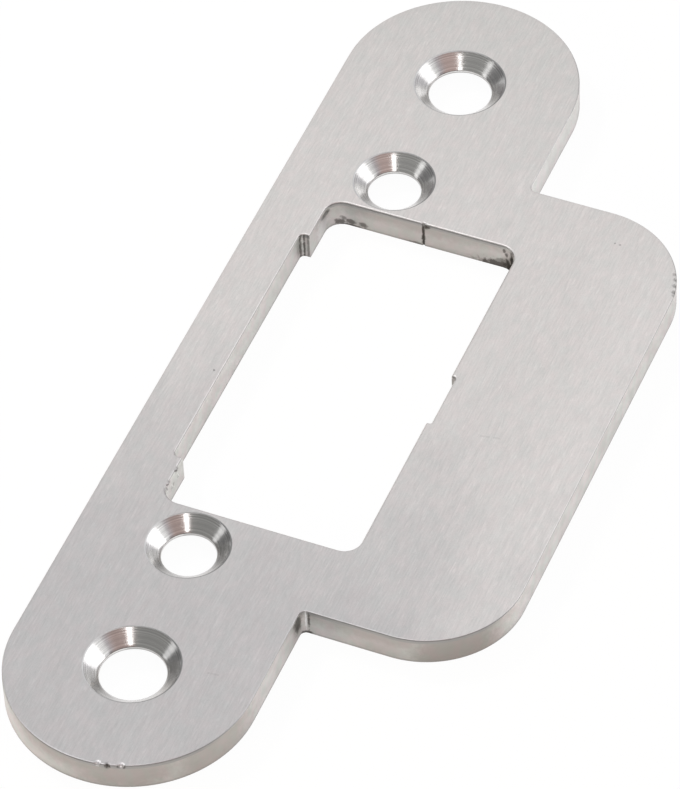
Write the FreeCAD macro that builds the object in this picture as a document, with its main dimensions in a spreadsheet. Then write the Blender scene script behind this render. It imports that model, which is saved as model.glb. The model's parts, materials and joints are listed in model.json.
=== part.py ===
import FreeCAD, Part
import math
import os
import Sketcher

# Door strike plate, one piece cut from stainless sheet, in millimetres.
# A narrow strip with fully round ends carries four screw holes. A lip with two large round corners
# stands out from one long side, and the window for the bolt is cut where strip and lip meet.
# The plate is alike on both faces, so the sheet is centred on z = 0. The origin is midway between the
# two outer screws, +X points out over the lip, +Y runs along the strip and +Z out of the front face.

os.makedirs("parts", exist_ok=True)

# Driving sizes
SIZES = [
    ("plate_thick", 3.2, "thickness of the sheet"),
    ("strip_width", 25.0, "width of the strip, and so the diameter of its round ends"),
    ("window_length", 43.6, "bolt window, along the strip"),
    ("window_width", 20.7, "bolt window, across the strip"),
    ("window_corner", 1.8, "radius of the window corners"),
    ("rail_width", 6.4, "metal between the plain long edge and the window"),
    ("lip_width", 17.0, "metal between the window and the outer edge of the lip"),
    ("lip_margin", 8.4, "metal of the lip past each end of the window"),
    ("lip_corner", 10.0, "radius of the outer corners of the lip"),
    ("lip_root", 0.6, "radius in the corners between lip and strip"),
    ("relief_length", 32.3, "long relief in the rail side of the window"),
    ("relief_depth", 1.0, "depth of the long relief"),
    ("relief_corner", 0.5, "radius in the corners of the long relief"),
    ("notch_length", 6.5, "short notch in the lip side of the window"),
    ("notch_depth", 0.5, "depth of the short notch"),
    ("notch_corner", 0.2, "radius of the corners of the short notch"),
    ("inner_gap", 4.7, "from the end of the window to the inner screw"),
    ("inner_shift", 1.0, "how far the inner screws stand towards the plain long edge"),
    ("screw_pitch", 15.7, "from the inner screw to the outer screw, along the strip"),
    ("outer_bore", 6.6, "bore of the outer screw holes"),
    ("inner_bore", 5.5, "bore of the inner screw holes"),
    ("sink_depth", 1.45, "depth of the countersinks, which are alike on both faces"),
    ("sink_angle", 90.0, "full angle of the countersinks, in degrees"),
    ("edge_break", 0.16, "flat that takes the sharpness off the edges of both faces"),
]

doc = FreeCAD.newDocument("door_strike_plate")
sheet = doc.addObject("Spreadsheet::Sheet", "Sizes")
for row, (alias, value, meaning) in enumerate(SIZES, start=1):
    sheet.set(f"A{row}", meaning)
    sheet.set(f"B{row}", str(value))
    sheet.setAlias(f"B{row}", alias)
doc.recompute()

# Places worked out from the driving sizes, each a positive distance from the origin
STRIP_HALF = "(Sizes.strip_width / 2)"
WINDOW_HALF = "(Sizes.window_length / 2)"
WINDOW_LEFT = f"({STRIP_HALF} - Sizes.rail_width)"
WINDOW_RIGHT = f"(Sizes.window_width - {WINDOW_LEFT})"
RELIEF_LEFT = f"({WINDOW_LEFT} + Sizes.relief_depth)"
RELIEF_HALF = "(Sizes.relief_length / 2)"
NOTCH_RIGHT = f"({WINDOW_RIGHT} + Sizes.notch_depth)"
NOTCH_HALF = "(Sizes.notch_length / 2)"
LIP_EDGE = f"({WINDOW_RIGHT} + Sizes.lip_width)"
LIP_HALF = f"({WINDOW_HALF} + Sizes.lip_margin)"
INNER_UP = f"({WINDOW_HALF} + Sizes.inner_gap)"
OUTER_UP = f"({INNER_UP} + Sizes.screw_pitch)"
SINK_FLARE = "(2 * Sizes.sink_depth * tan(Sizes.sink_angle * 1 deg / 2))"

body = doc.addObject("PartDesign::Body", "strike_plate")
body.Label = "strike_plate"
middle_plane = [plane for plane in body.Origin.OriginFeatures if plane.Role == "XY_Plane"][0]

# The points of a line or an arc that a constraint can hold, and the sketch's own axes, counted down
START, END, CENTRE = range(1, 4)
LEVEL_AXIS, UPRIGHT_AXIS = range(-1, -3, -1)
ORIGIN = (LEVEL_AXIS, START)

# Places nearer to each other than this are the same place
SAME_PLACE = 1e-6


def number(place):
    """What a place comes to, with a leading minus for the far side of the origin."""
    return -number(place[1:]) if place.startswith("-") else float(sheet.evalExpression(place))


def point(across, up):
    return FreeCAD.Vector(number(across), number(up), 0)


def new_sketch(name, height=None):
    """A sketch on the middle plane of the sheet, or one moved off it along Z."""
    sketch = body.newObject("Sketcher::SketchObject", name)
    sketch.AttachmentSupport = [(middle_plane, "")]
    sketch.MapMode = "FlatFace"
    if height:
        sketch.setExpression(".AttachmentOffset.Base.z", height)
    return sketch


def bind(sketch, constraint, expression):
    """Adds a constraint whose value follows the sheet."""
    index = sketch.addConstraint(constraint)
    sketch.setExpression(f"Constraints[{index}]", expression)


def pin_point(sketch, where, across=None, up=None):
    """Holds a point of the sketch at a place across and up from the origin."""
    for kind, place in (("DistanceX", across), ("DistanceY", up)):
        if place:
            distance = place.lstrip("-")
            ends = (*ORIGIN, *where) if place == distance else (*where, *ORIGIN)
            bind(sketch, Sketcher.Constraint(kind, *ends, number(distance)), distance)


def rectangle(name, left, right, bottom, top):
    """A sketched rectangle with its four sides tied to the sheet."""
    sketch = new_sketch(name)
    corners = [point(left, bottom), point(right, bottom), point(right, top), point(left, top)]
    bottom_side, right_side, top_side, left_side = sides = range(4)
    for side in sides:
        following = (side + 1) % len(sides)
        sketch.addGeometry(Part.LineSegment(corners[side], corners[following]), False)
    for side in (bottom_side, top_side):
        sketch.addConstraint(Sketcher.Constraint("Horizontal", side))
    for side in (left_side, right_side):
        sketch.addConstraint(Sketcher.Constraint("Vertical", side))
    for side in sides:
        following = (side + 1) % len(sides)
        sketch.addConstraint(Sketcher.Constraint("Coincident", side, END, following, START))
    pin_point(sketch, (bottom_side, START), left, bottom)
    pin_point(sketch, (top_side, START), right, top)
    return sketch


def round_ended_strip(name, half_width, end_centre):
    """A sketched strip along Y, centred on the origin, whose ends are full half circles."""
    sketch = new_sketch(name)
    radius, up = number(half_width), number(end_centre)
    top_arc, bottom_arc, left_side, right_side = range(4)
    for side, first_angle in ((1, 0.0), (-1, math.pi)):
        circle = Part.Circle(FreeCAD.Vector(0, side * up, 0), FreeCAD.Vector(0, 0, 1), radius)
        sketch.addGeometry(Part.ArcOfCircle(circle, first_angle, first_angle + math.pi), False)
    for side in (-1, 1):
        start = FreeCAD.Vector(side * radius, -side * up, 0)
        end = FreeCAD.Vector(side * radius, side * up, 0)
        sketch.addGeometry(Part.LineSegment(start, end), False)
    around = [top_arc, left_side, bottom_arc, right_side]
    for index, piece in enumerate(around):
        following = around[(index + 1) % len(around)]
        sketch.addConstraint(Sketcher.Constraint("Tangent", piece, END, following, START))
    for arc, place in ((top_arc, end_centre), (bottom_arc, f"-{end_centre}")):
        sketch.addConstraint(Sketcher.Constraint("PointOnObject", arc, CENTRE, UPRIGHT_AXIS))
        pin_point(sketch, (arc, CENTRE), up=place)
    sketch.addConstraint(Sketcher.Constraint("Equal", top_arc, bottom_arc))
    bind(sketch, Sketcher.Constraint("Radius", top_arc, radius), half_width)
    return sketch


def screw_circles(name, bore, across, up, height):
    """The two circles of a pair of screws, one each side of the middle, on one face of the sheet."""
    sketch = new_sketch(name, height)
    for index, place in enumerate((up, f"-{up}")):
        centre = FreeCAD.Vector(number(across) if across else 0, number(place), 0)
        sketch.addGeometry(Part.Circle(centre, FreeCAD.Vector(0, 0, 1), number(bore) / 2), False)
        pin_point(sketch, (index, CENTRE), across, place)
        if not across:
            sketch.addConstraint(Sketcher.Constraint("PointOnObject", index, CENTRE, UPRIGHT_AXIS))
        bind(sketch, Sketcher.Constraint("Radius", index, number(bore) / 2), f"{bore} / 2")
    return sketch


def pad(sketch):
    """Sheet metal of full thickness, half of it each side of the middle plane."""
    feature = body.newObject("PartDesign::Pad", f"{sketch.Name}_sheet")
    feature.Profile = sketch
    feature.SideType = "Symmetric"
    feature.setExpression("Length", "Sizes.plate_thick")
    doc.recompute()
    return feature


def cut_through(sketch):
    """An opening cut right through the sheet, both ways from the middle plane."""
    feature = body.newObject("PartDesign::Pocket", f"{sketch.Name}_cut")
    feature.Profile = sketch
    feature.Type = "ThroughAll"
    feature.SideType = "Symmetric"
    doc.recompute()
    return feature


def round_upright_edges(name, radius, corners):
    """Rounds the edges that stand through the sheet at the given corners."""
    base = body.Tip
    spots = [point(*corner) for corner in corners]
    edges = []
    for index, edge in enumerate(base.Shape.Edges, start=1):
        first, last = (vertex.Point for vertex in (edge.Vertexes[0], edge.Vertexes[-1]))
        stands = abs(first.x - last.x) + abs(first.y - last.y) < SAME_PLACE
        foot = FreeCAD.Vector(first.x, first.y, 0)
        if stands and any(foot.distanceToPoint(spot) < SAME_PLACE for spot in spots):
            edges.append(f"Edge{index}")
    feature = body.newObject("PartDesign::Fillet", name)
    feature.Base = (base, edges)
    feature.setExpression("Radius", radius)
    doc.recompute()


def break_face_edges(name):
    """Takes the sharpness off every edge that lies in the back face or the front face."""
    base = body.Tip
    back, front = base.Shape.BoundBox.ZMin, base.Shape.BoundBox.ZMax
    edges = []
    for index, edge in enumerate(base.Shape.Edges, start=1):
        low, high = edge.BoundBox.ZMin, edge.BoundBox.ZMax
        if max(high - low, min(low - back, front - high)) < SAME_PLACE:
            edges.append(f"Edge{index}")
    feature = body.newObject("PartDesign::Chamfer", name)
    feature.Base = (base, edges)
    feature.setExpression("Size", "Sizes.edge_break")
    doc.recompute()


def countersink(sketch, bore, from_back):
    """Screw holes through the sheet with a countersink on one face."""
    feature = body.newObject("PartDesign::Hole", f"{sketch.Name}_holes")
    feature.Profile = sketch
    feature.Reversed = from_back
    feature.DepthType = "ThroughAll"
    feature.DrillPoint = "Flat"
    feature.setExpression("Diameter", bore)
    feature.HoleCutType = "Countersink"
    feature.HoleCutCustomValues = True
    feature.setExpression("HoleCutDiameter", f"{bore} + {SINK_FLARE}")
    feature.setExpression("HoleCutCountersinkAngle", "Sizes.sink_angle * 1 deg")
    doc.recompute()


# Outline: the round-ended strip with the lip standing out of its right side
pad(round_ended_strip("strip", STRIP_HALF, OUTER_UP))
pad(rectangle("lip", f"-{WINDOW_LEFT}", LIP_EDGE, f"-{LIP_HALF}", LIP_HALF))
lip_corners = [(LIP_EDGE, LIP_HALF), (LIP_EDGE, f"-{LIP_HALF}")]
round_upright_edges("lip_corners", "Sizes.lip_corner", lip_corners)
lip_roots = [(STRIP_HALF, LIP_HALF), (STRIP_HALF, f"-{LIP_HALF}")]
round_upright_edges("lip_roots", "Sizes.lip_root", lip_roots)

# Bolt window, with the long relief in its rail side and the short notch in its lip side
cut_through(rectangle("window", f"-{WINDOW_LEFT}", WINDOW_RIGHT, f"-{WINDOW_HALF}", WINDOW_HALF))
window_corners = [
    (side, end)
    for side in (f"-{WINDOW_LEFT}", WINDOW_RIGHT)
    for end in (WINDOW_HALF, f"-{WINDOW_HALF}")
]
round_upright_edges("window_corners", "Sizes.window_corner", window_corners)
cut_through(rectangle("relief", f"-{RELIEF_LEFT}", WINDOW_RIGHT, f"-{RELIEF_HALF}", RELIEF_HALF))
relief_corners = [(f"-{RELIEF_LEFT}", RELIEF_HALF), (f"-{RELIEF_LEFT}", f"-{RELIEF_HALF}")]
round_upright_edges("relief_corners", "Sizes.relief_corner", relief_corners)
cut_through(rectangle("notch", f"-{WINDOW_LEFT}", NOTCH_RIGHT, f"-{NOTCH_HALF}", NOTCH_HALF))
notch_corners = [
    (side, end)
    for side in (WINDOW_RIGHT, NOTCH_RIGHT)
    for end in (NOTCH_HALF, f"-{NOTCH_HALF}")
]
round_upright_edges("notch_corners", "Sizes.notch_corner", notch_corners)
break_face_edges("broken_edges")

# Screw holes, countersunk from both faces so that the plate can be turned over for either hand
screw_pairs = [
    ("outer", "Sizes.outer_bore", None, OUTER_UP),
    ("inner", "Sizes.inner_bore", "-Sizes.inner_shift", INNER_UP),
]
for pair, bore, across, up in screw_pairs:
    for face, height in (("front", "Sizes.plate_thick / 2"), ("back", "-Sizes.plate_thick / 2")):
        countersink(screw_circles(f"{pair}_{face}", bore, across, up, height), bore, face == "back")

# Faults are caught here, before anything is written
doc.recompute()
for item in doc.Objects:
    if {"Invalid", "Error"} & set(item.State):
        raise RuntimeError(f"{item.Name} did not build: {item.State}")
shape = body.Shape
if shape.isNull() or not shape.isValid() or len(shape.Solids) != 1:
    raise RuntimeError("the plate is not one sound solid")

box = shape.BoundBox
print(f"{body.Label}: {box.XLength:.2f} x {box.YLength:.2f} x {box.ZLength:.2f} mm, {shape.Volume:.1f} mm3")
shape.exportStep(f"parts/{body.Label}.step")
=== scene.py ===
import json
import math

import bmesh
import bpy
from mathutils import Matrix, Vector
from mathutils.geometry import delaunay_2d_cdt


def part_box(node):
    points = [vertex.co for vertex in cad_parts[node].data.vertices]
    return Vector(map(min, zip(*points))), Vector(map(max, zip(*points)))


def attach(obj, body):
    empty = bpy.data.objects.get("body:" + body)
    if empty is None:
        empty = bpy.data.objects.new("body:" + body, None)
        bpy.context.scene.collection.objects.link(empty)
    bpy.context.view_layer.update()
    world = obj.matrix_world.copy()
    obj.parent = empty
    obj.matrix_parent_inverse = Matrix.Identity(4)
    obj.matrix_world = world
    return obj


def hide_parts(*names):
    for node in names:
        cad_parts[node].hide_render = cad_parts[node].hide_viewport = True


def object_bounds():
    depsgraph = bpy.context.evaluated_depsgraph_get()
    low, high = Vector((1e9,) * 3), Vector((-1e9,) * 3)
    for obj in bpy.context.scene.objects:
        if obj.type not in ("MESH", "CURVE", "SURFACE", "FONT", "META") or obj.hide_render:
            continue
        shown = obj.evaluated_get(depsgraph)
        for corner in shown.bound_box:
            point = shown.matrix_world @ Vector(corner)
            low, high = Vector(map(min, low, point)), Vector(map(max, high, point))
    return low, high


# A flat door strike plate of brushed stainless sheet, lying on a white table.
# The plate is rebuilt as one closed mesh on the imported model's own sizes, with the softened edges,
# turned countersinks, burrs, nicks and marks of the real one. Its sizes are in millimetres, and times
# MM they are in metres, as the table, the lights and the camera are.

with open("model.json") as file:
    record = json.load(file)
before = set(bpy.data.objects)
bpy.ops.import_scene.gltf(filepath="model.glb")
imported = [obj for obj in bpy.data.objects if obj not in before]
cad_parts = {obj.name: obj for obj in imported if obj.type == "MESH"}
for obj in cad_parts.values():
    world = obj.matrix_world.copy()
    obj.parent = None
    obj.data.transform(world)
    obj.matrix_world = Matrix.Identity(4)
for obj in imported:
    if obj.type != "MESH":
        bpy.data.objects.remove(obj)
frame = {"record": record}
cad_low, cad_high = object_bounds()
MM = 0.001

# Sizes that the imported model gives
plate_low, plate_high = (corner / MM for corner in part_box("strike_plate"))
mounts = {mount["name"]: mount for mount in frame["record"]["mounts"]}
STRIP_HALF = -plate_low.x
LIP_EDGE = plate_high.x
PLATE_END = plate_high.y
HALF_THICK = plate_high.z

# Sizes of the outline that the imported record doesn't hold
LIP_HALF, LIP_CORNER, LIP_ROOT = 30.2, 10.0, 0.6
WINDOW_HALF, WINDOW_CORNER = 21.8, 1.8
WINDOW_LEFT, WINDOW_RIGHT = -6.1, 14.6
TAB_CORNER = 0.0
RELIEF_LEFT, RELIEF_HALF, RELIEF_CORNER = -7.1, 16.15, 0.5
NOTCH_RIGHT, NOTCH_HALF, NOTCH_CORNER = 15.1, 3.25, 0.2
SEAM_X, SEAM_WIDTH, SEAM_DEPTH = 4.1, 0.24, 0.12
SEAM_MOUTH_ROUND, SEAM_FOOT_ROUND = 0.08, 0.06
SINK_DEPTH = 1.45

# Edges: the face rolls off a little before the broken edge, as grinding leaves it
ROLL_ROWS, ROUND_ROWS, BRUSHED_ROUND_ROWS = 6, 8, 3
OUTER_ROLL, OUTER_DROP, OUTER_ROUND = 1.3, 0.03, 0.17
WINDOW_ROLL, WINDOW_DROP, WINDOW_ROUND = 0.29, 0.015, 0.2
BACK_ROUND, BACK_ROWS = 0.08, 4
RIM_ROUND, LAND_ROUND = 0.1, 0.05
WALL_ROWS = 14
HOLE_STEPS, CONE_ROWS = 120, 6

# Spacing of the points along an outline, and how near a mark the finer one starts
COARSE, FINE, NEAR = 0.45, 0.08, 1.1
LEAST_CORNER_STEPS = 4
SHARPEST = 0.01


# Marks of use, each a place, how far and which way its metal moves, and how far round it that reaches


def arc_mark(centre, radius, degrees, below, inward, down, reach):
    """A nick in a round edge, at an angle about its centre and so far below the front face.

    Its metal moves inward and down, by less and less out to its reach.
    """
    outward = Vector((math.cos(math.radians(degrees)), math.sin(math.radians(degrees)), 0))
    place = Vector(centre).to_3d() + outward * radius + Vector((0, 0, HALF_THICK - below))
    return place, outward * -inward - Vector((0, 0, down)), reach


END_CENTRE = (0.0, STRIP_HALF - PLATE_END)
LIP_CENTRE = (LIP_EDGE - LIP_CORNER, LIP_HALF - LIP_CORNER)
LIP_NICK_INSET = 0.15
LIP_NICK_RADIUS = LIP_CORNER - LIP_NICK_INSET
BRIGHT_NICKS = [
    arc_mark(END_CENTRE, STRIP_HALF, -81.4, 0.04, 0.0, 0.17, 0.42),
    arc_mark(END_CENTRE, STRIP_HALF, -70.9, 0.04, 0.0, 0.17, 0.42),
]
END_NICKS = [
    arc_mark(END_CENTRE, STRIP_HALF, -76.9, 0.17, 0.18, 0.10, 0.34),
    arc_mark(END_CENTRE, STRIP_HALF, -72.3, 0.15, 0.10, 0.08, 0.22),
    arc_mark(END_CENTRE, STRIP_HALF, -69.6, 0.18, 0.12, 0.10, 0.24),
]
LIP_NICKS = [
    arc_mark(LIP_CENTRE, LIP_NICK_RADIUS, 20.0, 0.05, 0.04, 0.05, 0.30),
    arc_mark(LIP_CENTRE, LIP_NICK_RADIUS, 15.0, 0.05, 0.04, 0.07, 0.36),
    arc_mark(LIP_CENTRE, LIP_NICK_RADIUS, 10.2, 0.05, 0.04, 0.06, 0.34),
    arc_mark(LIP_CENTRE, LIP_NICK_RADIUS, 24.6, 0.05, 0.03, 0.04, 0.28),
    arc_mark(LIP_CENTRE, LIP_NICK_RADIUS, 7.5, 0.05, 0.03, 0.04, 0.26),
]
BURR_LIFT = Vector((0.2, 0.0, 0.05))
TAB_BURRS = [
    (Vector((WINDOW_LEFT, y, z)), BURR_LIFT, reach)
    for y, z, reach in (
        (-19.8, 1.5, 0.36),
        (-19.0, 0.1, 0.30),
        (-17.8, 1.4, 0.34),
        (-17.5, 0.2, 0.26),
        (-20.3, 1.1, 0.32),
    )
]


# Outlines


def rounded_corners(corners, inset):
    """Start, centre and turn of each corner's rounding, with the outline an inset into the metal."""
    rounds = []
    for index, (x, y, radius) in enumerate(corners):
        spot = Vector((x, y))
        arriving = (spot - Vector(corners[index - 1][:2])).normalized()
        leaving = (Vector(corners[(index + 1) % len(corners)][:2]) - spot).normalized()
        inward, inward_after = (Vector((-way.y, way.x)) for way in (arriving, leaving))
        turn = math.atan2(arriving.cross(leaving), arriving.dot(leaving))
        side = math.copysign(1, turn)
        radius = max(radius - side * inset, SHARPEST)
        moved = spot + (inward + inward_after) * inset / (1 + inward.dot(inward_after))
        start = moved - arriving * radius * math.tan(abs(turn) / 2)
        rounds.append((start, start + inward * side * radius, turn))
    return rounds


def on_outline(rounds, station):
    """The point of an outline at a station.

    A station is a corner's number, whether it is in that corner's rounding or on the straight run
    after it, and its share of the way along.
    """
    corner, in_rounding, share = station
    start, centre, turn = rounds[corner]
    if in_rounding:
        return centre + Matrix.Rotation(turn * share, 2) @ (start - centre)
    end = centre + Matrix.Rotation(turn, 2) @ (start - centre)
    return end.lerp(rounds[(corner + 1) % len(rounds)][0], share)


def stations(corners, marks):
    """Stations all round an outline, closer together near the marks' places."""
    rounds = rounded_corners(corners, 0)
    found = []
    for corner, (start, centre, turn) in enumerate(rounds):
        run_start = on_outline(rounds, (corner, False, 0))
        run_end = on_outline(rounds, (corner, False, 1))
        rounding, run = abs(turn) * (start - centre).length, (run_end - run_start).length
        for in_rounding, length, least in ((True, rounding, LEAST_CORNER_STEPS), (False, run, 1)):
            steps = max(math.ceil(length / COARSE), least)
            for step in range(steps):
                found.append((corner, in_rounding, step / steps))
                middle = on_outline(rounds, (corner, in_rounding, (step + 0.5) / steps))
                if any((middle - place.xy).length < NEAR for place, _, _ in marks):
                    finer = math.ceil(length / steps / FINE)
                    shares = ((step + part / finer) / steps for part in range(1, finer))
                    found += [(corner, in_rounding, share) for share in shares]
    return found


def strip_and_lip():
    """Corners of the plate's outer outline, going round with the metal on the left."""
    return [
        (STRIP_HALF, -PLATE_END, STRIP_HALF),
        (STRIP_HALF, -LIP_HALF, LIP_ROOT),
        (LIP_EDGE, -LIP_HALF, LIP_CORNER),
        (LIP_EDGE, LIP_HALF, LIP_CORNER),
        (STRIP_HALF, LIP_HALF, LIP_ROOT),
        (STRIP_HALF, PLATE_END, STRIP_HALF),
        (-STRIP_HALF, PLATE_END, STRIP_HALF),
        (-STRIP_HALF, -PLATE_END, STRIP_HALF),
    ]


def bolt_window():
    """Corners of the window with its notch, seam, tabs and long relief, with the metal on the left."""
    seam_foot = WINDOW_HALF + SEAM_DEPTH
    return [
        (WINDOW_RIGHT, WINDOW_HALF, WINDOW_CORNER),
        (WINDOW_RIGHT, NOTCH_HALF, NOTCH_CORNER),
        (NOTCH_RIGHT, NOTCH_HALF, NOTCH_CORNER),
        (NOTCH_RIGHT, -NOTCH_HALF, NOTCH_CORNER),
        (WINDOW_RIGHT, -NOTCH_HALF, NOTCH_CORNER),
        (WINDOW_RIGHT, -WINDOW_HALF, WINDOW_CORNER),
        (WINDOW_LEFT, -WINDOW_HALF, WINDOW_CORNER),
        (WINDOW_LEFT, -RELIEF_HALF, TAB_CORNER),
        (RELIEF_LEFT, -RELIEF_HALF, RELIEF_CORNER),
        (RELIEF_LEFT, RELIEF_HALF, RELIEF_CORNER),
        (WINDOW_LEFT, RELIEF_HALF, TAB_CORNER),
        (WINDOW_LEFT, WINDOW_HALF, WINDOW_CORNER),
        (SEAM_X - SEAM_WIDTH / 2, WINDOW_HALF, SEAM_MOUTH_ROUND),
        (SEAM_X - SEAM_WIDTH / 4, seam_foot, SEAM_FOOT_ROUND),
        (SEAM_X + SEAM_WIDTH / 4, seam_foot, SEAM_FOOT_ROUND),
        (SEAM_X + SEAM_WIDTH / 2, WINDOW_HALF, SEAM_MOUTH_ROUND),
    ]


# Sections


def edge_rows(roll, drop, edge):
    """Rows from the flat face to the wall: how far inside the outline, and how far below the face."""
    rows = []
    for step in range(ROLL_ROWS):
        share = step / ROLL_ROWS
        rows.append((roll + (edge - roll) * share, drop * share**2))
    start = math.atan(2 * drop / (roll - edge))
    radius = edge / (1 - math.sin(start))
    for step in range(ROUND_ROWS + 1):
        angle = start + (math.radians(90) - start) * step / ROUND_ROWS
        fall = drop + radius * (math.cos(start) - math.cos(angle))
        rows.append((radius * (1 - math.sin(angle)), fall))
    return rows


def sheet_section(roll, drop, edge):
    """The whole edge of the sheet, from front face to back face, as rows of inset and height."""
    front = [(inset, HALF_THICK - depth) for inset, depth in edge_rows(roll, drop, edge)]
    top, foot = front[-1][1], BACK_ROUND - HALF_THICK
    wall = [(0.0, top + (foot - top) * step / WALL_ROWS) for step in range(1, WALL_ROWS)]
    back = []
    for step in range(BACK_ROWS + 1):
        angle = math.radians(90) * step / BACK_ROWS
        back.append((BACK_ROUND * (1 - math.cos(angle)), foot - BACK_ROUND * math.sin(angle)))
    return front + wall + back


def screw_section(bore):
    """A screw hole with a countersink in both faces, as rows of radius and height."""
    land = HALF_THICK - SINK_DEPTH
    rim = bore + SINK_DEPTH
    front = [
        (rim + RIM_ROUND, HALF_THICK),
        (rim + RIM_ROUND / 3, HALF_THICK - RIM_ROUND / 6),
        (rim - RIM_ROUND * 2 / 3, HALF_THICK - RIM_ROUND),
    ]
    top, foot = front[-1], (bore + LAND_ROUND, land + LAND_ROUND)
    for step in range(1, CONE_ROWS):
        share = step / CONE_ROWS
        front.append(tuple(a + (b - a) * share for a, b in zip(top, foot)))
    front += [foot, (bore + LAND_ROUND / 3, land), (bore, land - LAND_ROUND)]
    return front + [(radius, -height) for radius, height in reversed(front)]


# Mesh


def outline_rings(corners, section, marks):
    """Rings of points that carry a section all round an outline."""
    around = stations(corners, marks)
    rings = []
    for inset, height in section:
        rounds = rounded_corners(corners, inset)
        level = Vector((0, 0, height))
        rings.append([on_outline(rounds, station).to_3d() + level for station in around])
    return rings


def screw_rings(centre, section):
    """Rings of points round a screw's axis, going round with the metal on the left."""
    angles = [-2 * math.pi * step / HOLE_STEPS for step in range(HOLE_STEPS)]
    return [
        [Vector((centre.x + r * math.cos(a), centre.y + r * math.sin(a), z)) for a in angles]
        for r, z in section
    ]


def screw_places():
    """Centre and bore radius of each screw hole, from the record's mounts."""
    places = []
    for name in ("outer_screws", "inner_screws"):
        mount = mounts[name]
        x, y = (value / MM for value in mount["pos_m"][:2])
        reach = mount["dims"]["spacing_y_mm"] / 2
        places += [(Vector((x, y + side * reach)), mount["dims"]["hole_r_mm"]) for side in (1, -1)]
    return places


# Numbers of the plate's materials
BRUSHED, CUT, TURNED = range(3)
# The kind of filling that a flat face gets, and how near two of its points are taken as one
TRIANGLES_INSIDE = 1
JOIN_DISTANCE = 1e-5
# Past this angle an edge is shaded as a sharp one
SHARP = math.radians(35)


def loft(mesh, rings, brushed_bands, wall):
    """Faces between each ring and the next: brushed in the first bands, then of the wall's material."""
    rows = [[mesh.verts.new(point) for point in ring] for ring in rings]
    for band, (upper, lower) in enumerate(zip(rows, rows[1:])):
        material = BRUSHED if band < brushed_bands else wall
        for index in range(len(upper)):
            following = (index + 1) % len(upper)
            corners = (upper[index], lower[index], lower[following], upper[following])
            face = mesh.faces.new(corners)
            face.material_index = material
            face.smooth = True
    return rows[0], rows[-1]


def cap(mesh, loops, up):
    """One flat face of the plate inside the first loop and outside the others, with up 1 or -1."""
    vertices = [vertex for loop in loops for vertex in loop]
    number = {vertex: index for index, vertex in enumerate(vertices)}
    outer, *openings = [[number[vertex] for vertex in loop] for loop in loops]
    rims = [outer] + [opening[::-1] for opening in openings]
    points = [vertex.co.xy for vertex in vertices]
    filled = delaunay_2d_cdt(points, [], rims, TRIANGLES_INSIDE, JOIN_DISTANCE, True)
    _, _, triangles, point_sources, _, face_sources = filled
    for corners, source in zip(triangles, face_sources):
        if source == [0]:
            face = mesh.faces.new([vertices[point_sources[corner][0]] for corner in corners[::up]])
            face.material_index = BRUSHED
            face.smooth = False


def dent(mesh, marks):
    """Metal moved in at each nick, and out at each burr."""
    for place, way, reach in marks:
        for vertex in mesh.verts:
            share = (vertex.co - place).length / reach
            if share < 1:
                vertex.co += way * (1 - share**2) ** 2


def build_plate(marks):
    """The plate as one closed mesh, in metres."""
    mesh = bmesh.new()
    brushed_bands = ROLL_ROWS + BRUSHED_ROUND_ROWS
    outer = sheet_section(OUTER_ROLL, OUTER_DROP, OUTER_ROUND)
    inner = sheet_section(WINDOW_ROLL, WINDOW_DROP, WINDOW_ROUND)
    edges = [
        (outline_rings(strip_and_lip(), outer, marks), brushed_bands, CUT),
        (outline_rings(bolt_window(), inner, marks), brushed_bands, CUT),
    ]
    edges += [(screw_rings(centre, screw_section(bore)), 0, TURNED) for centre, bore in screw_places()]
    fronts, backs = [], []
    for rings, bands, wall in edges:
        front, back = loft(mesh, rings, bands, wall)
        fronts.append(front)
        backs.append(back)
    cap(mesh, fronts, 1)
    cap(mesh, backs, -1)
    dent(mesh, marks)
    mesh.normal_update()
    for edge in mesh.edges:
        edge.smooth = edge.calc_face_angle() < SHARP
    mesh.transform(Matrix.Scale(MM, 4))
    data = bpy.data.meshes.new("plate")
    mesh.to_mesh(data)
    mesh.free()
    return data


# Nodes


def feed(tree, socket, value):
    """Give an input its value, or link another node's output to it."""
    if isinstance(value, bpy.types.NodeSocket):
        tree.links.new(value, socket)
    else:
        socket.default_value = value


def node(tree, kind, inputs=None, **settings):
    """A shader node with its settings and its inputs, which are values or other nodes' outputs."""
    made = tree.nodes.new("ShaderNode" + kind)
    for name, value in settings.items():
        setattr(made, name, value)
    for name, value in (inputs or {}).items():
        feed(tree, made.inputs[name], value)
    return made


def maths(tree, operation, *values, clamp=False):
    """A node that works out one operation on plain numbers or on the outputs of nodes."""
    inputs = dict(enumerate(values))
    return node(tree, "Math", inputs, operation=operation, use_clamp=clamp).outputs[0]


def combined(tree, operation, values):
    """One operation, such as ADD, carried from the first of some values through to the last."""
    result = values[0]
    for value in values[1:]:
        result = maths(tree, operation, result, value)
    return result


def vector_maths(tree, operation, *values, output="Vector"):
    """A node that works out one operation on vectors or colours, and gives a vector or a number."""
    inputs = dict(enumerate(values))
    return node(tree, "VectorMath", inputs, operation=operation).outputs[output]


def axes(tree, vector):
    """A vector's parts by the names X, Y and Z."""
    return node(tree, "SeparateXYZ", {"Vector": vector}).outputs


def facing(tree):
    """The parts of the way that the surface faces."""
    return axes(tree, node(tree, "NewGeometry").outputs["Normal"])


def ramp(tree, value, low, high, to_low=0.0, to_high=1.0, smooth=True):
    """A value carried from one range to another, and held at its ends."""
    inputs = {"Value": value, "From Min": low, "From Max": high, "To Min": to_low, "To Max": to_high}
    kind = "SMOOTHSTEP" if smooth else "LINEAR"
    return node(tree, "MapRange", inputs, interpolation_type=kind).outputs["Result"]


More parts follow.
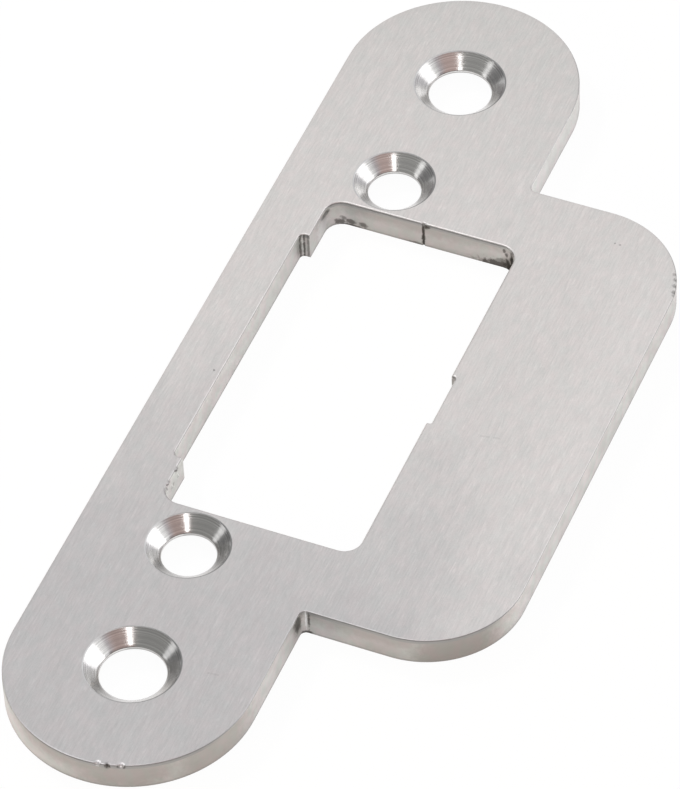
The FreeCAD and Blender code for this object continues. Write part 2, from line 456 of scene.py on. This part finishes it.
def noise(tree, place, grain, detail=2.0, roughness=0.5):
    """Noise whose grain is so many millimetres long along X, Y and Z, from 0 to 1 about a half."""
    scale = tuple(1 / (size * MM) for size in grain)
    stretched = vector_maths(tree, "MULTIPLY", place, scale)
    inputs = {"Vector": stretched, "Scale": 1.0, "Detail": detail, "Roughness": roughness}
    return node(tree, "TexNoise", inputs, noise_dimensions="3D").outputs["Fac"]


def ring_noise(tree, height, spacing):
    """Noise that changes with the height alone, with its rings so many millimetres apart."""
    inputs = {"W": maths(tree, "MULTIPLY", height, 1 / (spacing * MM)), "Scale": 1.0, "Detail": 1.0}
    return node(tree, "TexNoise", inputs, noise_dimensions="1D").outputs["Fac"]


# The range that holds nearly all of a noise
NOISE_LOW, NOISE_HIGH = 0.3, 0.7


def varied(tree, grain, low=0.0, high=1.0, smooth=False):
    """Noise carried from its own range to another one."""
    return ramp(tree, grain, NOISE_LOW, NOISE_HIGH, low, high, smooth)


def mixed(tree, share, one, two):
    """A colour between two others: the first at a share of 0 and the second at 1."""
    made = node(tree, "Mix", data_type="RGBA")
    sockets = {socket.identifier: socket for socket in (*made.inputs, *made.outputs)}
    for name, value in (("Factor_Float", share), ("A_Color", one), ("B_Color", two)):
        feed(tree, sockets[name], value)
    return sockets["Result_Color"]


def tinted(tree, colour, factor):
    """A colour times another colour, or times a plain number's output."""
    return vector_maths(tree, "MULTIPLY", colour, factor)


def grey(level, warmth=0.0):
    """A grey with a little red added and blue taken away, as a shader colour."""
    return (level * (1 + warmth), level, level * (1 - warmth), 1.0)


def line_distance(tree, place, start, end):
    """How far a point of the face is from a line between two places in millimetres, in metres."""
    start, end = (Vector(spot).to_3d() * MM for spot in (start, end))
    flat = vector_maths(tree, "MULTIPLY", place, (1.0, 1.0, 0.0))
    away = vector_maths(tree, "SUBTRACT", flat, tuple(start))
    run = end - start
    share = vector_maths(tree, "DOT_PRODUCT", away, tuple(run / run.length_squared), output="Value")
    # Held between the line's two ends
    share = maths(tree, "MULTIPLY", share, 1.0, clamp=True)
    foot = node(tree, "CombineXYZ", {
        axis: maths(tree, "MULTIPLY", share, part) for axis, part in zip("XYZ", run)
    }).outputs["Vector"]
    return vector_maths(tree, "DISTANCE", away, foot, output="Value")


# Shares of a spot's reach at which it has faded away, and within which it is full
SPOT_EDGE, SPOT_CORE = 1.05, 0.35


def spots(tree, place, patches, raggedness=0.35):
    """How strongly a point is marked by the strongest of some spots, stains or patches of painted light
    or shade, each fading towards a ragged edge.
    """
    ragged = noise(tree, place, (0.45, 0.45, 0.45), detail=3.0, roughness=0.6)
    ragged = varied(tree, ragged, -raggedness, raggedness)
    shares = []
    for spot, reach, strength in patches:
        away = vector_maths(tree, "SUBTRACT", place, tuple(Vector(spot) * MM))
        away = vector_maths(tree, "MULTIPLY", away, tuple(1 / (size * MM) for size in reach))
        length = vector_maths(tree, "LENGTH", away, output="Value")
        length = maths(tree, "ADD", length, ragged)
        shares.append(ramp(tree, length, SPOT_EDGE, SPOT_CORE, 0.0, strength))
    return combined(tree, "MAXIMUM", shares)


def new_material(name):
    """A material with an empty tree, its output node and the object's own coordinates in metres."""
    material = bpy.data.materials.new(name)
    material.use_nodes = True
    tree = material.node_tree
    tree.nodes.clear()
    output = node(tree, "OutputMaterial")
    place = node(tree, "TexCoord").outputs["Object"]
    return material, tree, output, place


def bare_metal(tree, output, colour, roughness, relief, strength, depth, more=None):
    """Metal with a fine relief so many millimetres deep, and with more inputs where it needs them."""
    bump = node(tree, "Bump", {"Strength": strength, "Distance": depth * MM, "Height": relief})
    surface = node(tree, "BsdfPrincipled", {
        "Base Color": colour,
        "Metallic": 1.0,
        "Roughness": roughness,
        "Normal": bump.outputs["Normal"],
        **(more or {}),
    })
    tree.links.new(surface.outputs["BSDF"], output.inputs["Surface"])


# Scratches, spots, stains, and painted light and shade


def nick_spots(nicks, size, strength, share_of_way=0.5):
    """A spot on each nick, so far along the way that its metal moved."""
    return [(place + way * share_of_way, (size, size, size), strength) for place, way, _ in nicks]


# Each scratch runs from one place on the front face to another
SCRATCHES = [
    ((7.24, -40.64), (8.23, -40.53)),
    ((20.35, -3.14), (21.1, -3.0)),
    ((21.65, -2.9), (22.13, -2.82)),
]
# Each spot, stain or patch of painted light or shade is a place, how far it reaches along X, Y and Z,
# and how strong it is
DARK_SPOTS = [
    *nick_spots(END_NICKS[:1], 0.36, 1.0),
    *nick_spots(END_NICKS[1:], 0.22, 0.6),
    *nick_spots(LIP_NICKS[:3], 0.34, 0.5),
    *nick_spots(LIP_NICKS[3:], 0.28, 0.35),
]
# Painted glints on the two bright nicks
PAINTED_GLINTS = nick_spots(BRIGHT_NICKS, 0.38, 1.0, share_of_way=0.0)
SPECKS = [
    ((-7.84, -4.37, HALF_THICK), (0.2, 0.22, 1.0), 0.8),
    ((23.38, 26.15, HALF_THICK), (0.16, 0.16, 1.0), 0.5),
    ((23.93, 26.13, HALF_THICK), (0.16, 0.16, 1.0), 0.5),
]
# Dark patches on the cut walls: painted shade in the corners, along the seam and at the lip's root, and
# darker spots on the burrs and nicks
DARK_WALL_PATCHES = [
    # The seam and the wall beside it
    ((SEAM_X, WINDOW_HALF + 0.1, -0.4), (0.26, 0.3, 2.8), 0.95),
    ((SEAM_X + 0.42, WINDOW_HALF, 1.22), (0.48, 0.4, 0.36), 0.95),
    ((SEAM_X - 0.8, WINDOW_HALF, -1.45), (1.3, 0.4, 0.22), 0.5),
    # The window's upper left corner
    ((-6.1, 20.1, 0.85), (0.45, 1.1, 0.42), 0.8),
    ((-4.7, 21.6, -0.6), (0.5, 0.5, 0.4), 0.6),
    ((-5.0, 21.5, -1.1), (0.9, 0.6, 0.5), 0.75),
    ((-3.9, WINDOW_HALF, -0.95), (0.8, 0.4, 0.45), 0.75),
    ((-2.6, WINDOW_HALF, -0.95), (0.55, 0.4, 0.4), 0.7),
    ((-4.0, WINDOW_HALF, -1.5), (2.0, 0.8, 0.25), 0.8),
    # The window's upper right corner
    ((13.0, WINDOW_HALF, 0.9), (0.24, 0.5, 0.36), 0.75),
    ((13.25, WINDOW_HALF, 0.45), (0.28, 0.5, 0.4), 0.8),
    ((12.2, WINDOW_HALF, -1.3), (2.8, 0.5, 0.8), 0.85),
    ((12.6, WINDOW_HALF, -0.7), (0.9, 0.5, 0.6), 0.5),
    ((13.75, 21.55, -1.1), (1.3, 1.0, 1.4), 1.0),
    ((14.05, 21.3, 0.0), (0.6, 0.7, 1.6), 0.95),
    # The upper end of the notch, and both ends of the relief
    ((NOTCH_RIGHT - 0.25, NOTCH_HALF, 0.0), (0.6, 0.3, 3.0), 0.5),
    ((RELIEF_LEFT, -RELIEF_HALF, 0.0), (0.4, 0.4, 4.0), 0.3),
    ((RELIEF_LEFT + 0.05, RELIEF_HALF - 0.3, 0.0), (0.24, 0.25, 4.0), 0.75),
    ((RELIEF_LEFT + 0.36, RELIEF_HALF, 0.0), (0.15, 0.3, 4.0), 0.85),
    ((RELIEF_LEFT + 0.8, RELIEF_HALF, 0.0), (0.16, 0.3, 4.0), 0.5),
    # Painted shade at the lower root of the lip, and a dark line at its foot
    ((STRIP_HALF, -LIP_HALF - 1.05, 0.6), (0.5, 1.0, 1.5), 0.62),
    ((STRIP_HALF + 0.74, -LIP_HALF, 0.5), (0.18, 0.3, 1.6), 0.75),
    ((STRIP_HALF + 0.5, -LIP_HALF, -1.45), (0.9, 0.6, 0.3), 0.8),
    # The lower tab's burrs
    ((WINDOW_LEFT, -19.4, 1.3), (0.3, 0.25, 0.25), 0.4),
    ((WINDOW_LEFT, -17.5, 1.2), (0.3, 0.3, 0.25), 0.4),
    ((WINDOW_LEFT, -18.6, 0.2), (0.3, 0.25, 0.25), 0.35),
    *DARK_SPOTS,
]
# Places on the cut walls with painted light: a painted highlight in the lip root's fillet, painted
# light on the upper tab's wall and high on the strip's right wall, and the bright nicks' painted glints
PAINTED_WALL_LIGHT = [
    ((STRIP_HALF + 0.45, -LIP_HALF - 0.02, 0.2), (0.13, 0.2, 1.5), 1.0),
    ((WINDOW_LEFT, 19.4, -0.2), (0.5, 1.7, 1.6), 0.6),
    ((STRIP_HALF, 36.0, 0.8), (3.0, 12.0, 4.0), 0.25),
    *PAINTED_GLINTS,
]
# Wide patches of painted shade on the cut walls, without hard edges
PAINTED_WALL_SHADE = [
    ((27.8, -28.1, -0.5), (6.5, 6.5, 7.0), 0.65),
    ((13.7, 21.5, -0.9), (1.7, 1.4, 2.0), 0.7),
    ((11.0, -47.5, 0.0), (5.0, 8.0, 6.0), 0.45),
    ((4.0, WINDOW_HALF, 1.9), (16.0, 2.5, 2.8), 0.55),
    ((6.0, WINDOW_HALF, 0.0), (12.0, 2.5, 6.0), 0.2),
    ((0.0, -54.5, 1.9), (13.0, 9.0, 2.8), 0.55),
    ((4.5, -54.0, 1.2), (8.0, 7.0, 4.5), 0.5),
    ((20.0, -LIP_HALF, 1.9), (12.0, 3.0, 2.8), 0.5),
    ((21.0, -LIP_HALF, 0.0), (4.0, 3.0, 5.0), 0.25),
]


# Materials

# Colours of the brushed face, with a painted light round the window and painted shade below it and
# above it, and what varies them
LIT_MIDDLE_METAL = (0.765, 0.738, 0.728, 1.0)
SHADED_LOWER_METAL = (0.622, 0.606, 0.611, 1.0)
SHADED_UPPER_METAL = (0.717, 0.698, 0.686, 1.0)
WARM_TINT, COOL_TINT = (1.026, 1.006, 1.006, 1.0), (0.976, 0.992, 0.988, 1.0)
# What varies the colour of the cut walls
ROSY_TINT, GREENISH_TINT = (1.03, 0.985, 0.985, 1.0), (0.975, 1.0, 0.975, 1.0)
# Heights between which the front edge turns dull under a painted shade, the back edge darkens with a
# painted shade at the foot, and a hole's wall its rim
DULL_SHADE_LOW, DULL_SHADE_HIGH = HALF_THICK - 0.54, HALF_THICK - 0.36
FOOT_SHADE_HIGH, FOOT_SHADE_LOW = 0.4 - HALF_THICK, -HALF_THICK
RIM_LOW, RIM_HIGH = HALF_THICK - 0.12, HALF_THICK - 0.04


def brushed_colour_and_light(tree, parts, cloud, mottle):
    """The brushed metal's colour, with painted light and shade: paler and warmer round the window and
    above it than lower down.
    """
    along = combined(tree, "ADD", [
        parts["Y"],
        ramp(tree, parts["X"], 16 * MM, 30 * MM, 0.0, 13 * MM),
        varied(tree, cloud, -5 * MM, 5 * MM),
    ])
    metal = mixed(tree, ramp(tree, along, 10 * MM, -38 * MM), LIT_MIDDLE_METAL, SHADED_LOWER_METAL)
    metal = mixed(tree, ramp(tree, along, 26 * MM, 56 * MM), metal, SHADED_UPPER_METAL)
    tint = mixed(tree, ramp(tree, mottle, 0.35, 0.65, smooth=False), WARM_TINT, COOL_TINT)
    return tinted(tree, metal, tint)


def brushed_face():
    """Both faces and the front's rolled edges: brushed along the strip, with scratches and specks,
    painted light and shade across the face and on the rounding, and painted glints on two nicks.
    """
    material, tree, output, place = new_material("brushed_stainless")
    streak = noise(tree, place, (0.17, 2.0, 1.0), detail=3.0, roughness=0.7)
    grit = noise(tree, place, (0.13, 0.16, 0.15), detail=1.0)
    fleck = noise(tree, place, (0.17, 1.0, 2.0), detail=1.0)
    band = noise(tree, place, (0.7, 11.0, 1.0), detail=2.0)
    mottle = noise(tree, place, (1.3, 1.7, 1.3), detail=3.0, roughness=0.6)
    cloud = noise(tree, place, (5.0, 7.0, 5.0), detail=3.0, roughness=0.6)
    parts, faced = axes(tree, place), facing(tree)

    grain = combined(tree, "ADD", [
        varied(tree, streak, 0.93, 1.07),
        varied(tree, cloud, -0.015, 0.015),
        varied(tree, grit, -0.025, 0.025),
        ramp(tree, fleck, 0.58, 0.74, 0.0, 0.06),
        ramp(tree, band, 0.62, 0.75, 0.0, 0.04),
    ])
    # Painted shade darkens the rounding where it turns to the right, a painted highlight brightens it
    # where it turns to the lower end, and a painted light brightens the face towards the lip
    shade = combined(tree, "MULTIPLY", [
        grain,
        ramp(tree, faced["X"], 0.15, 0.4, 1.0, 0.86),
        ramp(tree, faced["Y"], -0.12, -0.3, 1.0, 1.18),
        ramp(tree, parts["X"], 20 * MM, 31 * MM, 1.0, 1.035),
        ramp(tree, spots(tree, place, SPECKS + DARK_SPOTS), 0.0, 1.0, 1.0, 0.2, smooth=False),
    ])
    # A painted glint brightens each of the two bright nicks
    painted_glint = maths(tree, "MULTIPLY", spots(tree, place, PAINTED_GLINTS), 0.25)
    shade = maths(tree, "ADD", shade, painted_glint)
    for start, end in SCRATCHES:
        away = line_distance(tree, place, start, end)
        shade = maths(tree, "MULTIPLY", shade, ramp(tree, away, 0.04 * MM, 0.18 * MM, 0.9, 1.0))
    colour = tinted(tree, brushed_colour_and_light(tree, parts, cloud, mottle), shade)

    roughness = combined(tree, "ADD", [
        varied(tree, streak, 0.32, 0.37, smooth=True),
        varied(tree, cloud, -0.01, 0.01, smooth=True),
    ])
    relief = maths(tree, "ADD", streak, maths(tree, "MULTIPLY", fleck, 0.5))
    across = node(tree, "CombineXYZ", {"X": 1.0}).outputs["Vector"]
    brushing = {"Anisotropic": 0.5, "Tangent": across}
    bare_metal(tree, output, colour, roughness, relief, strength=0.4, depth=0.004, more=brushing)
    return material


def cut_edge():
    """The cut walls: drawn from face to face, darker in places with painted shade, brighter in others
    with painted highlights, and marked with dark spots.
    """
    material, tree, output, place = new_material("cut_stainless")
    lines = noise(tree, place, (0.12, 0.12, 3.0), detail=2.0)
    blotch = noise(tree, place, (1.6, 1.6, 1.2), detail=3.0)
    rust = noise(tree, place, (1.1, 1.1, 1.4), detail=2.0)
    height, sideways = axes(tree, place)["Z"], facing(tree)["X"]

    # The front edge is dull and darkened by a painted shade, but not where it faces the left or
    # straight to the right
    dull_shaded_edge = combined(tree, "MULTIPLY", [
        ramp(tree, height, DULL_SHADE_LOW * MM, DULL_SHADE_HIGH * MM),
        ramp(tree, sideways, 0.95, 0.8),
        ramp(tree, sideways, -0.4, 0.15),
    ])
    # A painted shade darkens the foot of each wall, beside the table
    foot_shade = ramp(tree, height, FOOT_SHADE_HIGH * MM, FOOT_SHADE_LOW * MM)
    dark_patch = spots(tree, place, DARK_WALL_PATCHES)
    colour = mixed(tree, varied(tree, blotch, smooth=True), grey(0.65, 0.018), grey(0.73, 0.012))
    # Painted shade over wide parts of the walls
    colour = mixed(tree, spots(tree, place, PAINTED_WALL_SHADE, raggedness=0.08), colour, grey(0.3, 0.08))
    colour = tinted(tree, colour, mixed(tree, ramp(tree, rust, 0.35, 0.65), ROSY_TINT, GREENISH_TINT))
    colour = mixed(tree, dull_shaded_edge, colour, grey(0.41, 0.01))
    colour = mixed(tree, foot_shade, colour, grey(0.42, 0.03))
    # Painted shade in corners, along the seam and at the lip's root, and darker spots on burrs and
    # nicks
    colour = mixed(tree, dark_patch, colour, grey(0.09, 0.1))
    # Painted highlights and painted light on the cut walls
    colour = mixed(tree, spots(tree, place, PAINTED_WALL_LIGHT), colour, grey(0.95))

    roughness = varied(tree, blotch, 0.40, 0.45, smooth=True)
    roughness = maths(tree, "ADD", roughness, maths(tree, "MULTIPLY", dull_shaded_edge, 0.08))
    drawn = {
        "Anisotropic": ramp(tree, dull_shaded_edge, 0.0, 1.0, 0.75, 0.0),
        "Tangent": node(tree, "CombineXYZ", {"Z": 1.0}).outputs["Vector"],
        "Specular Tint": mixed(tree, dark_patch, grey(1.0), grey(0.1)),
    }
    bare_metal(tree, output, colour, roughness, lines, strength=0.3, depth=0.01, more=drawn)
    return material


def turned_countersink():
    """The walls of the screw holes: turned in fine rings, with a duller rim, and with painted light and
    shade on the lower holes and the rims.
    """
    material, tree, output, place = new_material("turned_stainless")
    parts, sideways = axes(tree, place), facing(tree)["X"]
    fine, coarse = (ring_noise(tree, parts["Z"], spacing) for spacing in (0.09, 0.25))
    rings = combined(tree, "ADD", [maths(tree, "MULTIPLY", part, 0.5) for part in (fine, coarse)])
    colour = mixed(tree, ramp(tree, rings, 0.35, 0.65), grey(0.62, 0.01), grey(0.80, 0.01))

    # A painted light brightens the lower holes where they face the lip's side, and a painted shade
    # darkens them all round the rest
    lower = ramp(tree, parts["Y"], 20 * MM, -20 * MM)
    lower_hole_light = maths(tree, "MULTIPLY", lower, ramp(tree, sideways, 0.5, 0.64, -0.14, 0.14))
    colour = tinted(tree, colour, maths(tree, "ADD", lower_hole_light, 1.0))

    rim = ramp(tree, maths(tree, "ABSOLUTE", parts["Z"]), RIM_LOW * MM, RIM_HIGH * MM)
    # The rim takes a painted shade, darker on each hole's right side than on its left
    rim_shade_level = ramp(tree, sideways, -0.45, 0.45, 0.34, 0.72)
    rim_shade_colour = node(tree, "CombineXYZ", {axis: rim_shade_level for axis in "XYZ"}).outputs["Vector"]
    colour = mixed(tree, rim, colour, rim_shade_colour)
    roughness = varied(tree, fine, 0.15, 0.24, smooth=True)
    roughness = maths(tree, "ADD", roughness, maths(tree, "MULTIPLY", rim, 0.3))
    bare_metal(tree, output, colour, roughness, rings, strength=0.35, depth=0.005)
    return material


# The plate

plate = bpy.data.objects.new("plate", build_plate(BRIGHT_NICKS + END_NICKS + LIP_NICKS + TAB_BURRS))
bpy.context.scene.collection.objects.link(plate)
for make in (brushed_face, cut_edge, turned_countersink):
    plate.data.materials.append(make())
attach(plate, "root")
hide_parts("strike_plate")


# Table, light and camera, with their places and sizes in metres

TABLE_GAP = 0.02 * MM
TABLE_SIZE = 4.0
TABLE_WHITE, TABLE_GLOW, TABLE_PAINT = 0.965, 0.35, 0.95


def table_top():
    """A white table that shows as white and keeps the plate's soft shadow, and is clear from below."""
    bpy.ops.mesh.primitive_plane_add(size=TABLE_SIZE, location=(0, 0, cad_low.z - TABLE_GAP))
    table = bpy.context.object
    table.name = "table"
    material, tree, output, _ = new_material("white_table")
    seen = node(tree, "LightPath").outputs
    shown = maths(tree, "MAXIMUM", seen["Is Camera Ray"], seen["Is Transmission Ray"])
    shown = maths(tree, "MAXIMUM", maths(tree, "MULTIPLY", shown, TABLE_WHITE), TABLE_GLOW)
    paint = node(tree, "BsdfDiffuse", {"Color": grey(TABLE_PAINT)}).outputs["BSDF"]
    white = node(tree, "Emission", {"Color": grey(1.0), "Strength": 1.0}).outputs["Emission"]
    above = node(tree, "MixShader", {0: shown, 1: paint, 2: white}).outputs["Shader"]
    clear = node(tree, "BsdfTransparent").outputs["BSDF"]
    underside = node(tree, "NewGeometry").outputs["Backfacing"]
    surface = node(tree, "MixShader", {0: underside, 1: above, 2: clear})
    tree.links.new(surface.outputs["Shader"], output.inputs["Surface"])
    table.data.materials.append(material)


def room_in_front(tree, way, parts):
    """The room towards the camera: grey, brown on the right, and with a dark patch low on the right."""
    left, right, sides = (0.34, 0.34, 0.33, 1), (0.535, 0.415, 0.385, 1), (0.5, 0.47, 0.49, 1)
    colour = mixed(tree, ramp(tree, parts["X"], 0.1, 0.35), left, right)
    colour = mixed(tree, ramp(tree, parts["Y"], -0.3, -0.06), colour, sides)
    colour = mixed(tree, ramp(tree, parts["X"], -0.75, -0.95), colour, grey(0.2))
    level_way = vector_maths(tree, "NORMALIZE", vector_maths(tree, "MULTIPLY", way, (1.0, 1.0, 0.0)))
    dark_turn = math.radians(-30)
    dark_way = (math.cos(dark_turn), math.sin(dark_turn), 0.0)
    nearness = vector_maths(tree, "DOT_PRODUCT", level_way, dark_way, output="Value")
    dark = maths(tree, "MULTIPLY", ramp(tree, nearness, 0.5, 0.85), ramp(tree, parts["Z"], 0.58, 0.3))
    return mixed(tree, dark, colour, (0.06, 0.05, 0.045, 1))


def surroundings():
    """A pale room, darker towards the camera. Where the camera sees it straight, it is white."""
    world = bpy.data.worlds.new("room")
    bpy.context.scene.world = world
    world.use_nodes = True
    tree = world.node_tree
    tree.nodes.clear()
    way = node(tree, "TexCoord").outputs["Generated"]
    parts = axes(tree, way)
    right = mixed(tree, ramp(tree, parts["Z"], 0.2, 0.5), (0.60, 0.59, 0.61, 1), grey(0.85))
    cloth = mixed(tree, ramp(tree, parts["X"], 0.1, 0.4), grey(0.72), right)
    behind = maths(tree, "SUBTRACT", parts["Y"], ramp(tree, parts["X"], -0.5, -0.9, 0.0, 0.22))
    room = mixed(tree, ramp(tree, behind, -0.04, 0.06), room_in_front(tree, way, parts), cloth)
    seen = node(tree, "LightPath").outputs["Is Camera Ray"]
    light = node(tree, "Background", {"Color": mixed(tree, seen, room, grey(1.0)), "Strength": 1.0})
    output = node(tree, "OutputWorld")
    tree.links.new(light.outputs["Background"], output.inputs["Surface"])


WHITE = (1.0, 1.0, 1.0)
CENTRE = (0.0, 0.0, 0.0)


def softbox(name, place, width, height, level, colour=WHITE, aim=CENTRE, diffuse=True, glossy=True):
    """A soft light as bright as level, where 1 is white, that the camera doesn't see.

    Without diffuse it is only seen in reflections, and without glossy it is left out of them.
    """
    light = bpy.data.lights.new(name, "AREA")
    light.shape = "RECTANGLE"
    light.size, light.size_y = width, height
    light.energy = level * math.pi * width * height
    light.color = colour
    lamp = bpy.data.objects.new(name, light)
    bpy.context.scene.collection.objects.link(lamp)
    lamp.location = place
    lamp.rotation_euler = (Vector(place) - Vector(aim)).to_track_quat("Z", "Y").to_euler()
    lamp.visible_camera = False
    lamp.visible_diffuse = diffuse
    lamp.visible_glossy = glossy


def photo_camera():
    """A camera at the photograph's angle, with its lens worked out for a picture 789 pixels high."""
    azimuth, elevation, roll = math.radians(24.7053), math.radians(47.5377), math.radians(-2.8907)
    distance, aim = 582.08 * MM, Vector((3.986, -0.304, -HALF_THICK)) * MM
    focal_pixels, picture_height, sensor_height = 5813.2, 789, 36.0
    back = Vector((
        math.sin(azimuth) * math.cos(elevation),
        -math.cos(azimuth) * math.cos(elevation),
        math.sin(elevation),
    ))
    data = bpy.data.cameras.new("camera")
    data.sensor_fit = "VERTICAL"
    data.sensor_height = sensor_height
    data.lens = focal_pixels / picture_height * sensor_height
    camera = bpy.data.objects.new("camera", data)
    bpy.context.scene.collection.objects.link(camera)
    turn = back.to_track_quat("Z", "Y").to_matrix() @ Matrix.Rotation(roll, 3, "Z")
    camera.matrix_world = Matrix.Translation(aim + back * distance) @ turn.to_4x4()
    bpy.context.scene.camera = camera


table_top()
surroundings()
photo_camera()
softbox("back_window", (0.534, 0.215, 0.21), 0.736, 0.42, 0.9, aim=(0.534, 0.0, 0.21), diffuse=False)
softbox("camera_strip", (0.130, -0.296, 0.296), 0.052, 0.14, 4.0)
softbox("left_strip", (-0.304, -0.119, 0.135), 0.08, 0.16, 0.9)
softbox("mirror", (-0.12, 0.285, 0.335), 0.3, 0.26, 0.15, colour=(1.0, 0.97, 0.95))
softbox("key", (-0.404, 0.188, 0.401), 0.12, 0.12, 34.0, colour=(1.0, 0.98, 0.96), glossy=False)
softbox("front_fill", (-0.199, -0.426, 0.171), 0.1, 0.1, 28.0, colour=(1.0, 0.66, 0.34), glossy=False)
softbox("overhead", (0.0, 0.0, 1.0), 0.6, 0.6, 1.5, glossy=False)
softbox("edge_strip", (-0.34, 0.0, 0.94), 0.38, 0.5, 1.6, diffuse=False)

bpy.context.scene.view_settings.view_transform = "Standard"
